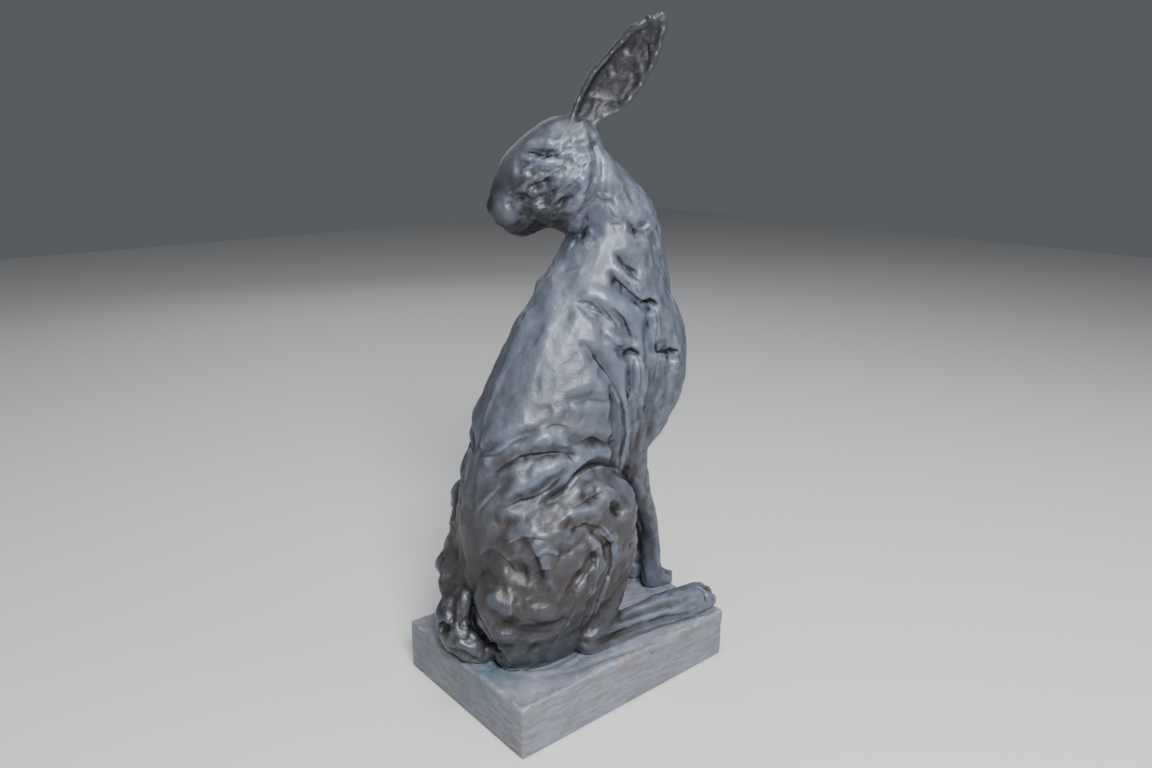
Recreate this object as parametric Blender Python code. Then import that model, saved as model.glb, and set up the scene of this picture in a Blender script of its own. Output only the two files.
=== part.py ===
"""A hare sitting upright on a low plinth, its head turned back over its left shoulder.

The hare and the plinth are one casting, so they are one solid. The frame is in metres: +X is the
way the hare's body faces, +Y is its left, +Z is up, and the origin is at the middle of the
plinth's underside.
"""

import math

import bmesh
import bpy
import numpy as np
from mathutils import Vector

# Driving dimensions, in metres
PLINTH_LENGTH = 0.216
PLINTH_WIDTH = 0.158
PLINTH_HEIGHT = 0.043
PLINTH_EDGE_ROUND = 0.0022
FIGURE_HEIGHT = 0.482

# The figure's masses are given in 482nds of its height, which are millimetres at its real size
SHARE = FIGURE_HEIGHT / 482.0
RING_SIDES = 28
VOXEL = 0.0018
SOFTENING = 14
SOFTENING_FACTOR = 0.5
FIGURE_TRIANGLES = 9200

# A mass ends in a cap that reaches out by a share of its radius, through rings at these angles
CAP_REACH = 0.75
CAP_ANGLES = [math.radians(angle) for angle in (60, 30)]

# An ear's wall is an arc of this half angle, and its inner face keeps a share of the width
EAR_ARC = math.radians(84)
EAR_LEAST_INNER = 0.35
EAR_TIP = 1.5
FAR_EAR_LEAN = 6.0

# A fold's lip lies above its cut by a share of the fold's reach, and is wider and lower than it
LIP_ABOVE = 0.9
LIP_REACH = 1.2
LIP_RISE = 0.6

# A stroke narrows to this share of its reach and depth over a quarter of its length
STROKE_END = 0.35
STROKE_TAPERS = 4

RESIN_COLOUR = (0.085, 0.078, 0.075, 1.0)
RESIN_ROUGHNESS = 0.45
RESIN_METALLIC = 0.25


def clear_scene():
    for old in list(bpy.data.objects):
        bpy.data.objects.remove(old)


def resin():
    material = bpy.data.materials.new("bronzed_resin")
    material.use_nodes = True
    shader = material.node_tree.nodes["Principled BSDF"]
    shader.inputs["Base Color"].default_value = RESIN_COLOUR
    shader.inputs["Roughness"].default_value = RESIN_ROUGHNESS
    shader.inputs["Metallic"].default_value = RESIN_METALLIC
    material.diffuse_color = RESIN_COLOUR
    return material


def smooth_path(stations, steps):
    """The stations with more between them, on a Catmull-Rom curve through all their values."""
    knots = np.array(stations, float)
    knots = np.vstack([2 * knots[0] - knots[1], knots, 2 * knots[-1] - knots[-2]])
    path = []
    for i in range(1, len(knots) - 2):
        before, start, end, after = knots[i - 1 : i + 3]
        for t in np.arange(steps) / steps:
            path.append(
                0.5
                * (
                    2 * start
                    + (end - before) * t
                    + (2 * before - 5 * start + 4 * end - after) * t**2
                    + (3 * start - before - 3 * end + after) * t**3
                )
            )
    path.append(knots[-2])
    return np.array(path)


def unit(v):
    return v / np.linalg.norm(v)


def add_rings(bm, rings, first_pole, last_pole):
    """Joins closed rings of points into one closed tube, each end drawn in to a pole."""
    made = [[bm.verts.new(p) for p in ring] for ring in rings]
    count = len(made[0])
    for a, b in zip(made, made[1:]):
        for i in range(count):
            j = (i + 1) % count
            bm.faces.new((a[i], a[j], b[j], b[i]))
    for ring, pole, turn in ((made[0], first_pole, -1), (made[-1], last_pole, 1)):
        tip = bm.verts.new(pole)
        for i in range(count):
            pair = (ring[i], ring[(i + 1) % count])[::turn]
            bm.faces.new((*pair, tip))


def add_mass(bm, stations, side=(0, 1, 0), steps=5):
    """A rounded mass along its stations (x, y, z, half width, half depth), in the figure's shares.

    Half width is measured along side, and half depth across side and the mass's own line.
    """
    path = smooth_path(stations, steps)
    centres, widths, depths = path[:, :3], path[:, 3], path[:, 4]
    lines = np.gradient(centres, axis=0)
    turns = np.linspace(0, 2 * math.pi, RING_SIDES, endpoint=False)
    rings = []

    def ring(i, along, shrink):
        line = unit(lines[i])
        wide = unit(np.array(side, float) - np.dot(side, line) * line)
        deep = np.cross(line, wide)
        around = np.outer(np.cos(turns) * widths[i], wide) + np.outer(np.sin(turns) * depths[i], deep)
        rings.append(centres[i] + line * along + around * shrink)

    for i, direction in ((0, -1), (len(path) - 1, 1)):
        reach = CAP_REACH * min(widths[i], depths[i])
        caps = [(direction * reach * math.sin(a), math.cos(a)) for a in CAP_ANGLES]
        if direction < 0:
            for along, shrink in caps:
                ring(i, along, shrink)
            first_pole = centres[i] - unit(lines[i]) * reach
            for k in range(len(path)):
                ring(k, 0.0, 1.0)
        else:
            for along, shrink in reversed(caps):
                ring(i, along, shrink)
            last_pole = centres[i] + unit(lines[i]) * reach
    add_rings(bm, rings, first_pole, last_pole)


def torso():
    return [
        (-57, 0, 26, 42, 38),
        (-55, 0, 70, 46, 45),
        (-48, 0, 115, 48, 51),
        (-23, 0, 155, 52, 67),
        (5, 0, 195, 53, 73),
        (27, 0, 230, 52, 73),
        (39, 0, 265, 47, 63),
        (46, 0, 300, 38, 48),
        (47, 0, 328, 32, 37),
        (34, 3, 354, 26, 25),
        (18, 4, 374, 21, 19),
    ]


def haunch(s):
    return [
        (-80, 22 * s, 74, 26, 46),
        (-58, 34 * s, 66, 31, 58),
        (-30, 42 * s, 84, 27, 62),
        (0, 43 * s, 111, 22, 45),
        (14, 42 * s, 121, 17, 27),
    ]


def seat(s):
    return [
        (-78, 28 * s, 24, 22, 26),
        (-58, 33 * s, 20, 23, 26),
        (-36, 38 * s, 20, 19, 22),
    ]


def hip(s):
    return [
        (-68, 16 * s, 84, 30, 34),
        (-50, 32 * s, 100, 29, 38),
        (-26, 39 * s, 113, 26, 34),
    ]


def shank(s):
    return [
        (16, 45 * s, 84, 14, 16),
        (5, 46 * s, 52, 14, 16),
        (-7, 48 * s, 28, 13, 15),
        (-18, 51 * s, 16, 12, 13),
    ]


def hind_foot(s):
    return [
        (-24, 52 * s, 11, 12, 12),
        (-4, 54 * s, 11, 12, 12),
        (22, 57 * s, 12, 12, 12),
        (62, 62 * s, 13, 13, 13),
        (88, 65 * s, 13, 14, 13),
        (98, 66 * s, 11, 13, 11),
    ]


def foreleg(s):
    return [
        (62, 16 * s, 288, 14, 18),
        (62, 25 * s, 245, 24, 34),
        (61, 30 * s, 205, 23, 33),
        (54, 30 * s, 172, 17, 20),
        (46, 26 * s, 149, 13, 15),
        (65, 17 * s, 102, 9, 10),
        (80, 12 * s, 74, 8, 8.5),
        (88, 10 * s, 40, 7.5, 8),
        (88, 11 * s, 14, 8.5, 10),
    ]


def fore_paw(s):
    return [
        (86, 11 * s, 9, 9, 9),
        (97, 13 * s, 9, 10, 9),
        (106, 15 * s, 7, 9, 7),
    ]


def tail():
    return [
        (-97, 9, 52, 10, 9),
        (-106, 13, 36, 14, 12),
        (-106, 7, 20, 16, 13),
        (-98, -5, 11, 15, 11),
        (-88, -13, 8, 9, 7),
    ]


# The head is turned to the left by this much, and its own frame has +X to the nose
HEAD_TURN = math.radians(140)
HEAD_SEAT = np.array([20.0, 5.0, 0.0])
HEAD_FORWARD = np.array([math.cos(HEAD_TURN), math.sin(HEAD_TURN), 0.0])
HEAD_LEFT = np.array([-math.sin(HEAD_TURN), math.cos(HEAD_TURN), 0.0])


def head_point(forward, left, up):
    """A point of the head, given along its own nose line and left side, in the figure's shares."""
    return HEAD_SEAT + HEAD_FORWARD * forward + HEAD_LEFT * left + np.array([0, 0, up])


def head_mass(stations):
    return [(*head_point(f, l, u), w, d) for f, l, u, w, d in stations]


def skull():
    return head_mass([
        (0, 0, 392, 18, 20),
        (12, 0, 384, 24, 28),
        (24, 0, 371, 26, 32),
        (36, 0, 357, 24, 33),
        (47, 0, 345, 19, 28),
        (57, 0, 334, 14, 21),
    ])


def throat():
    return head_mass([
        (28, 0, 352, 15, 18),
        (14, 0, 342, 17, 18),
        (3, 0, 336, 18, 17),
    ])


def cheek(s):
    return head_mass([
        (-2, 12 * s, 374, 12, 20),
        (12, 14 * s, 360, 13, 26),
        (32, 11 * s, 346, 11, 20),
    ])


def ear_sections(s):
    """(forward, left, up, half width, hollow, thickness) along an ear, s is 1 for the left one."""
    sections = [
        (4, 9, 402, 10, 8, 6),
        (-5, 9, 413, 14, 9, 5.5),
        (-17, 10, 425, 19, 11, 5),
        (-33, 11, 443, 18, 11, 5),
        (-46, 12, 463, 14, 9, 5),
        (-54, 12, 474, 8, 6, 4.5),
        (-57, 12, 480, 3, 3, 4),
    ]
    root, tip = sections[0][2], sections[-1][2]
    lean = 0.0 if s > 0 else FAR_EAR_LEAN
    return [(f + lean * (u - root) / (tip - root), l * s, u, w, h, t) for f, l, u, w, h, t in sections]


def add_ear(bm, s, steps=5, arc_points=12):
    """An ear is a curved leaf, hollow towards its own side of the head."""
    path = smooth_path(ear_sections(s), steps)
    centres = np.array([head_point(*p[:3]) for p in path])
    lines = np.gradient(centres, axis=0)
    rings = []
    arc = np.linspace(-EAR_ARC, EAR_ARC, arc_points)
    for centre, line, (half, hollow, thick) in zip(centres, lines, path[:, 3:]):
        line = unit(line)
        out = unit(HEAD_LEFT * s - np.dot(HEAD_LEFT * s, line) * line)
        wide = np.cross(line, out) * s
        outer = [(half * math.sin(a), -hollow * math.cos(a)) for a in arc]
        inner_half = max(half - thick, EAR_LEAST_INNER * half)
        inner_hollow = hollow - thick
        inner = [(inner_half * math.sin(a), -inner_hollow * math.cos(a)) for a in arc[::-1]]
        rings.append(np.array([centre + wide * a + out * b for a, b in outer + inner]))
    add_rings(bm, rings, centres[0], centres[-1] + unit(lines[-1]) * EAR_TIP)


def figure_masses():
    bm = bmesh.new()
    add_mass(bm, torso())
    add_mass(bm, skull(), side=HEAD_LEFT)
    add_mass(bm, throat(), side=HEAD_LEFT)
    add_mass(bm, tail())
    for s in (-1, 1):
        for stations in (seat(s), hip(s), haunch(s), shank(s), hind_foot(s), foreleg(s), fore_paw(s)):
            add_mass(bm, stations)
        add_mass(bm, cheek(s), side=HEAD_LEFT)
        add_ear(bm, s)
    bmesh.ops.recalc_face_normals(bm, faces=bm.faces)
    for v in bm.verts:
        v.co = v.co * SHARE + Vector((0, 0, PLINTH_HEIGHT))
    mesh = bpy.data.meshes.new("masses")
    bm.to_mesh(mesh)
    bm.free()
    return mesh


# Each stroke of the modeller's tool is (reach, rise, line): a line of points near the skin, how
# far to either side it tells, and how much it lifts the skin, or cuts it when it is negative.
# Points are (x, outward, up), in the figure's shares, and each stroke is made on both sides.
def body_strokes():
    shoulder = [
        (8, -4, [(36, 30, 334), (42, 33, 326), (54, 32, 331)]),
        (8, -3, [(54, 34, 325), (60, 35, 310), (62, 38, 290)]),
        (8, -4, [(20, 30, 311), (28, 36, 303), (38, 41, 289)]),
        (9, -5, [(14, 33, 298), (22, 40, 285), (38, 46, 271)]),
        (10, -5, [(30, 45, 274), (44, 46, 271), (56, 46, 268)]),
        (11, -3.5, [(42, 46, 268), (40, 49, 246), (36, 51, 224)]),
        (10, 3, [(-14, 26, 290), (6, 39, 278), (26, 46, 262)]),
        (10, -5, [(-14, 27, 277), (7, 43, 263), (30, 49, 244)]),
        (10, -5, [(5, 48, 242), (20, 50, 238), (32, 52, 230)]),
        (10, -3.5, [(18, 51, 236), (20, 52, 221), (18, 53, 198)]),
        (10, -5, [(44, 51, 237), (58, 52, 234), (74, 50, 226)]),
        (12, -3, [(60, 53, 230), (55, 53, 215), (48, 51, 198)]),
        (9, 2.5, [(30, 50, 250), (30, 52, 222), (32, 50, 192)]),
        (12, -4.5, [(-18, 38, 248), (-2, 49, 225), (6, 53, 200)]),
        (13, -8, [(2, 53, 214), (9, 52, 183), (10, 50, 164), (16, 45, 132)]),
    ]
    cuts = [
        (8, -3, [(-8, 62, 127), (2, 64, 114)]),
        (9, -6, [(-30, 66, 111), (-17, 68, 97), (-15, 68, 82), (-26, 67, 58), (-34, 58, 26)]),
        (9, 3, [(-22, 67, 92), (-26, 68, 76), (-38, 67, 58)]),
        (9, -4, [(-28, 68, 98), (-35, 69, 86), (-58, 66, 68)]),
        (10, -5, [(-100, 5, 59), (-96, 12, 38), (-94, 24, 20), (-92, 38, 12)]),
    ]
    feet = [
        (8, -4, [(-34, 58, 14), (-15, 65, 11), (9, 68, 13), (33, 71, 13), (70, 77, 9)]),
        (8, -3, [(4, 61, 22), (37, 66, 23), (72, 72, 22)]),
        (7, -4, [(92, 58, 27), (106, 60, 20), (114, 61, 6)]),
        (7, -4, [(88, 69, 27), (104, 72, 18), (112, 74, 6)]),
        (6, -3, [(98, 12, 18), (114, 13, 4)]),
        (6, -3, [(98, 18, 16), (112, 21, 4)]),
    ]
    return shoulder + cuts + feet


# Loose skin laps over itself in folds: a cut with a lip over it
def fold_lines():
    return [
        (9, 2.5, [(-36, 41, 208), (-19, 48, 210), (2, 51, 204)]),
        (9, 3, [(-42, 45, 183), (-20, 52, 177), (8, 52, 168)]),
        (10, 3, [(-84, 3, 166), (-77, 14, 175), (-65, 29, 184), (-54, 37, 190)]),
        (11, 4.5, [(-86, 11, 154), (-76, 23, 166), (-56, 41, 172), (-34, 49, 170)]),
        (11, 4.5, [(-84, 28, 133), (-71, 38, 140), (-58, 44, 147), (-42, 49, 160)]),
        (10, 5, [(-62, 46, 133), (-40, 49, 146), (-22, 52, 156), (8, 48, 148)]),
        (9, 2.5, [(-50, 54, 132), (-31, 58, 135), (-9, 59, 139)]),
        (10, 3, [(-54, 60, 120), (-36, 64, 120), (-20, 66, 110)]),
        (12, 4.5, [(-103, 34, 60), (-90, 51, 46), (-76, 59, 43), (-54, 65, 45)]),
    ]


def spine():
    return [
        (16, 2, [(2, 0, 320), (-25, 0, 268), (-52, 0, 222), (-84, 0, 165), (-99, 0, 110), (-99, 0, 70)]),
        (14, -3, [(93, 0, 275), (106, 0, 235), (92, 0, 195)]),
    ]


def tail_strokes():
    return [
        (10, -6, [(-118, 8, 34), (-119, 4, 27)]),
        (8, 3, [(-100, 4, 58), (-104, 1, 47), (-109, -1, 36)]),
        (7, -4, [(-117, 2, 15), (-111, -11, 13), (-102, -16, 5)]),
    ]


# On the head the points are (forward, outward, up), from the middle of its own seat
def head_strokes():
    return [
        (7, -4.5, [(44, 20, 380), (33, 23, 382), (18, 25, 381)]),
        (9, 3, [(44, 17, 386), (32, 21, 388), (16, 23, 389)]),
        (7, -4, [(43, 20, 379), (47, 21, 368)]),
        (9, -5, [(-5, 15, 396), (-11, 17, 382), (-11, 21, 369), (-7, 22, 352), (2, 20, 340)]),
        (7, -4, [(57, 14, 343), (49, 19, 349), (35, 22, 349)]),
        (9, -4.5, [(46, 19, 344), (40, 16, 334)]),
        (7, -3, [(40, 23, 358), (31, 25, 359), (23, 26, 366)]),
        (7, -3, [(35, 22, 348), (27, 24, 353), (20, 26, 358)]),
        (7, -3, [(21, 23, 343), (10, 27, 354), (1, 25, 361)]),
        (6, -3.5, [(69, 0, 342), (64, 0, 330), (56, 0, 320)]),
        (6, -3, [(69, 3, 343), (66, 8, 346)]),
    ]


def all_strokes():
    strokes = tail_strokes() + spine()
    for s in (-1, 1):
        strokes += [(w, d, [(x, y * s, z) for x, y, z in line]) for w, d, line in body_strokes()]
        for w, d, line in fold_lines():
            strokes.append((w, -d, [(x, y * s, z) for x, y, z in line]))
            lip = [(x, y * s, z + LIP_ABOVE * w) for x, y, z in line]
            strokes.append((LIP_REACH * w, LIP_RISE * d, lip))
        for w, d, line in head_strokes():
            strokes.append((w, d, [tuple(head_point(f, l * s, u)) for f, l, u in line]))
    return strokes


def carve(mesh, strokes):
    """Moves each vertex along its normal by the strokes near it, which taper at their ends."""
    count = len(mesh.vertices)
    flat = np.empty(count * 3)
    mesh.vertices.foreach_get("co", flat)
    points = flat.reshape(-1, 3)
    normals = np.empty(count * 3)
    mesh.vertices.foreach_get("normal", normals)
    normals = normals.reshape(-1, 3)
    move = np.zeros(count)
    lift = np.array([0, 0, PLINTH_HEIGHT])
    for reach, rise, line in strokes:
        line = smooth_path(np.array(line, float) * SHARE + lift, 4)
        run = np.concatenate([[0], np.cumsum(np.linalg.norm(np.diff(line, axis=0), axis=1))])
        near = np.full(count, np.inf)
        place_on = np.zeros(count)
        for i, (a, b) in enumerate(zip(line, line[1:])):
            along = np.clip((points - a) @ (b - a) / np.dot(b - a, b - a), 0, 1)
            far = np.linalg.norm(points - (a + along[:, None] * (b - a)), axis=1)
            closer = far < near
            near[closer] = far[closer]
            place_on[closer] = (run[i] + along * (run[i + 1] - run[i]))[closer] / run[-1]
        ends = np.clip(STROKE_TAPERS * np.minimum(place_on, 1 - place_on), 0, 1)
        taper = STROKE_END + (1 - STROKE_END) * ends
        fade = np.clip(1 - (near / (reach * SHARE * taper)) ** 2, 0, 1) ** 2
        move += rise * SHARE * fade * taper
    mesh.vertices.foreach_set("co", (points + normals * move[:, None]).ravel())
    mesh.update()


def evaluated_mesh(obj):
    graph = bpy.context.evaluated_depsgraph_get()
    return bpy.data.meshes.new_from_object(obj.evaluated_get(graph))


def place(name, mesh):
    obj = bpy.data.objects.new(name, mesh)
    bpy.context.scene.collection.objects.link(obj)
    return obj


def without_bubbles(mesh):
    """Drops the small skins of any space that the masses close in between them."""
    bm = bmesh.new()
    bm.from_mesh(mesh)
    left = set(bm.verts)
    skins = []
    while left:
        skin = set()
        ahead = [left.pop()]
        while ahead:
            vert = ahead.pop()
            skin.add(vert)
            for edge in vert.link_edges:
                other = edge.other_vert(vert)
                if other in left:
                    left.remove(other)
                    ahead.append(other)
        skins.append(skin)
    skins.sort(key=len)
    for skin in skins[:-1]:
        bmesh.ops.delete(bm, geom=list(skin), context="VERTS")
    bm.to_mesh(mesh)
    bm.free()
    return mesh


def fused_figure():
    """The masses run together into one skin, softened into each other, and carved."""
    obj = place("figure_skin", figure_masses())
    remesh = obj.modifiers.new("fuse", "REMESH")
    remesh.mode = "VOXEL"
    remesh.voxel_size = VOXEL
    soften = obj.modifiers.new("soften", "SMOOTH")
    soften.factor = SOFTENING_FACTOR
    soften.iterations = SOFTENING
    mesh = without_bubbles(evaluated_mesh(obj))
    bpy.data.objects.remove(obj)
    carve(mesh, all_strokes())
    return mesh


def plinth_mesh():
    bm = bmesh.new()
    bmesh.ops.create_cube(bm, size=1.0)
    for v in bm.verts:
        v.co = Vector((
            v.co.x * PLINTH_LENGTH,
            v.co.y * PLINTH_WIDTH,
            (v.co.z + 0.5) * PLINTH_HEIGHT,
        ))
    bmesh.ops.bevel(
        bm, geom=list(bm.edges), offset=PLINTH_EDGE_ROUND, segments=2, affect="EDGES", profile=0.5
    )
    mesh = bpy.data.meshes.new("plinth")
    bm.to_mesh(mesh)
    bm.free()
    return mesh


def main():
    clear_scene()
    figure = fused_figure()
    hare = place("hare_sculpture", figure)
    hare.data.materials.append(resin())
    thin = hare.modifiers.new("thin_out", "DECIMATE")
    thin.ratio = FIGURE_TRIANGLES / (2 * len(figure.polygons))
    plinth = place("plinth_block", plinth_mesh())
    plinth.hide_render = True
    plinth.display_type = "WIRE"
    join = hare.modifiers.new("cast_with_plinth", "BOOLEAN")
    join.operation = "UNION"
    join.object = plinth


main()
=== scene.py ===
# %% [markdown]
# A hare cast in resin and finished like old bronze. It sits upright on a low plinth and looks
# back over its shoulder. The real one was modelled in clay, moulded, cast in one piece, and then
# brushed with a pale blue-grey over a dark ground. This lesson goes the same way: a clay skin
# over the solid, the modeller's strokes, and the brushed finish.

# %% Load the frame
import math

import bpy
import numpy as np
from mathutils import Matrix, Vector
from mathutils.bvhtree import BVHTree
from mathutils.kdtree import KDTree


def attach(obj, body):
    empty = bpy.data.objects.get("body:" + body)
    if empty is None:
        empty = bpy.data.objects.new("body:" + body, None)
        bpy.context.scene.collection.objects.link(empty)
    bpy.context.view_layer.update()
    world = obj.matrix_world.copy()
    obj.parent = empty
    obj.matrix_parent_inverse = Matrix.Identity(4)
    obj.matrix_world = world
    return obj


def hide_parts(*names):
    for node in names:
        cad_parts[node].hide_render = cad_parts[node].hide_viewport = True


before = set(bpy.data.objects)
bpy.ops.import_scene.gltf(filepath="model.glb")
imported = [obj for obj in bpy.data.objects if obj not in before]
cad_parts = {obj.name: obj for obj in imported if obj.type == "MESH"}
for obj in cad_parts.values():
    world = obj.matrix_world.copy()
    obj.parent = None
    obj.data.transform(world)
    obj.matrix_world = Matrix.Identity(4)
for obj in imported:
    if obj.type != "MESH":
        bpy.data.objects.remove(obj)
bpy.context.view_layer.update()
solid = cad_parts["hare_sculpture"]

# %% [markdown]
# The camera comes first, because the modeller's strokes below were read off a photograph and
# are cast back on to the figure through it. It stands behind the hare's right side, a little
# above the shoulder. A stroke's points are pixels of the photograph's 1152 x 768 frame.

# %% Camera
PHOTO_WIDTH = 1152
PHOTO_HEIGHT = 768
CAMERA_PLACE = Vector((-0.4332, -0.5267, 0.4493))
CAMERA_LOOK = Vector((0.61664, 0.73488, -0.28234))
LENS_MM = 28.125
SENSOR_MM = 36.0

camera = bpy.data.objects.new("camera", bpy.data.cameras.new("camera"))
camera.data.lens = LENS_MM
camera.data.sensor_width = SENSOR_MM
camera.data.clip_start = 0.01
camera.location = CAMERA_PLACE
camera.rotation_euler = CAMERA_LOOK.to_track_quat("-Z", "Y").to_euler()
bpy.context.scene.collection.objects.link(camera)
bpy.context.scene.camera = camera
bpy.context.view_layer.update()


def ray_through(pixel):
    """The direction in which the camera sees a pixel of the photograph."""
    focal = LENS_MM / SENSOR_MM * PHOTO_WIDTH
    seen = Vector((pixel[0] - PHOTO_WIDTH / 2, PHOTO_HEIGHT / 2 - pixel[1], -focal))
    return (camera.matrix_world.to_3x3() @ seen).normalized()


print("camera looks along", [round(v, 3) for v in ray_through((PHOTO_WIDTH / 2, PHOTO_HEIGHT / 2))])

# %% [markdown]
# The skin below has a few hundred thousand points, and a Python loop over them is slow. So numpy
# arrays hold them, and a relaxation moves all at once, each towards the middle of its neighbours.

# %% Mesh helpers
PULL = 0.5
PUSH = -0.53


def evaluated_mesh(obj):
    graph = bpy.context.evaluated_depsgraph_get()
    return bpy.data.meshes.new_from_object(obj.evaluated_get(graph))


def read_points(mesh, field="co"):
    flat = np.empty(len(mesh.vertices) * 3)
    mesh.vertices.foreach_get(field, flat)
    return flat.reshape(-1, 3)


def write_points(mesh, points):
    mesh.vertices.foreach_set("co", points.ravel())
    mesh.update()


def links_of(mesh):
    """Both ends of every edge, and how many edges meet at each vertex."""
    flat = np.empty(len(mesh.edges) * 2, dtype=np.int64)
    mesh.edges.foreach_get("vertices", flat)
    ends = flat.reshape(-1, 2)
    ends = np.vstack([ends, ends[:, ::-1]])
    return ends, np.bincount(ends[:, 0], minlength=len(mesh.vertices))


def neighbour_mean(values, links):
    ends, degree = links
    columns = [np.bincount(ends[:, 0], column[ends[:, 1]], len(degree)) for column in values.T]
    return np.stack(columns, 1) / degree[:, None]


def relaxed(points, links, rounds, weight, push=PUSH):
    for _ in range(rounds):
        for step in (PULL, push):
            if step:
                points = points + step * weight * (neighbour_mean(points, links) - points)
    return points


print("a relaxation pulls by", PULL, "and pushes by", -PUSH)

# %% [markdown]
# The solid is made of flat facets, as a mould-maker's pattern would be. The clay skin is a finer
# mesh on the same form: a voxel remesh gives it even faces, and a relaxation takes the facets
# off. Plain smoothing would shrink the thin ears, so each pull inwards is followed by a push
# outwards that gives thin forms back their size. The plinth is left crisp. Between the feet and
# the ears the relaxation goes on for longer, until the pattern's own coarse grooves are gone,
# because the strokes further down cut them again, narrower and in more detail.

# %% Skin
SKIN_VOXEL = 0.0012
FACET_ROUNDS = 36
CLAY_ROUNDS = 70
PLINTH_TOP = 0.043
PLINTH_CRISP = 0.0025
FEET_TOP = 0.075
EAR_ROOT = 0.445
CLAY_BLEND = 0.012

skin = bpy.data.objects.new("hare_casting", solid.data.copy())
bpy.context.scene.collection.objects.link(skin)
voxels = skin.modifiers.new("voxels", "REMESH")
voxels.mode = "VOXEL"
voxels.voxel_size = SKIN_VOXEL
clay = evaluated_mesh(skin)
skin.modifiers.clear()
skin.data = clay
links = links_of(clay)
points = read_points(clay)
on_figure = np.clip((points[:, 2:] - PLINTH_TOP - PLINTH_CRISP) / PLINTH_CRISP, 0, 1)
above_feet = np.clip((points[:, 2:] - FEET_TOP) / CLAY_BLEND, 0, 1)
below_ears = np.clip((EAR_ROOT - points[:, 2:]) / CLAY_BLEND, 0, 1)
points = relaxed(points, links, FACET_ROUNDS, on_figure)
write_points(clay, relaxed(points, links, CLAY_ROUNDS, above_feet * below_ears))
print("skin", len(clay.vertices), "points")

# %% [markdown]
# A clay modeller has only a few strokes: the edge of a tool cuts a line, a thumb drags a hollow,
# a pressed strip of clay leaves a ledge with one high side, and a rolled bit leaves a ridge. Each
# becomes a height over the skin, as a function of the distance from the stroke's line, and the
# skin's points move along their normals by it.

# %% Strokes
MM = 0.001
CAST_STEP_PX = 5.0
TINY = 1e-7
CUT_SHARE = 0.6
CUT_SHARPNESS = 1.5
BURR_HEIGHT = 0.22
BURR_PLACE = 0.75
BURR_REACH = 0.25
LEDGE_HEIGHT = 0.55
LEDGE_DEPTH = 0.6
LEDGE_BACK = 1.6
LEDGE_FOOT = 2.2
CLIFF_WIDTH = 0.16


def curve_through(knots, spacing):
    """Points at about this spacing on a Catmull-Rom curve through the knots."""
    knots = np.array(knots, float)
    knots = np.vstack([2 * knots[0] - knots[1], knots, 2 * knots[-1] - knots[-2]])
    path = []
    for i in range(1, len(knots) - 2):
        before, start, end, after = knots[i - 1 : i + 3]
        steps = max(1, math.ceil(np.linalg.norm(end - start) / spacing))
        for t in np.arange(steps) / steps:
            bend = (2 * before - 5 * start + 4 * end - after) * t**2
            bend = bend + (3 * start - before - 3 * end + after) * t**3
            path.append(0.5 * (2 * start + (end - before) * t + bend))
    path.append(knots[-2])
    return np.array(path)


def cut(side):
    """A narrow groove with a small burr thrown up on both sides."""
    wide = np.abs(side)
    groove = np.clip(1 - wide / CUT_SHARE, 0, 1) ** CUT_SHARPNESS
    burr = np.clip(1 - np.abs(wide - BURR_PLACE) / BURR_REACH, 0, 1)
    return BURR_HEIGHT * burr - groove


def hollow(side):
    return -np.clip(1 - side**2, 0, 1) ** 2


def ridge(side):
    return np.clip(1 - side**2, 0, 1) ** 2


def ledge(side):
    """High on the left of the stroke as it is drawn, and undercut on its right."""
    high = np.clip(1 + side, 0, 1) ** LEDGE_BACK
    low = np.clip(1 - side, 0, 1) ** LEDGE_FOOT
    cliff = np.clip(side / CLIFF_WIDTH + 0.5, 0, 1)
    return LEDGE_HEIGHT * high * (1 - cliff) - LEDGE_DEPTH * low * cliff


print("a cut's burr rises to", BURR_HEIGHT, "of its depth, a ledge to", LEDGE_HEIGHT, "of its size")

# %% [markdown]
# A sculptor holds the skin while the strokes go on. The camera's rays find a stroke's line on the
# skin, and each point near the line gets a height from its distance to it. The heights of all
# strokes of a region are added up first and pressed once, along the skin's normals, so strokes
# that cross don't push each other sideways. A displacement texture could do this too, but it
# would need the figure unwrapped.

# %% Sculptor
# A stroke swells from this share of its size at its ends to all of it a fifth of the way in
END_SHARE = 0.4
ENDS_PER_STROKE = 5


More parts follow.
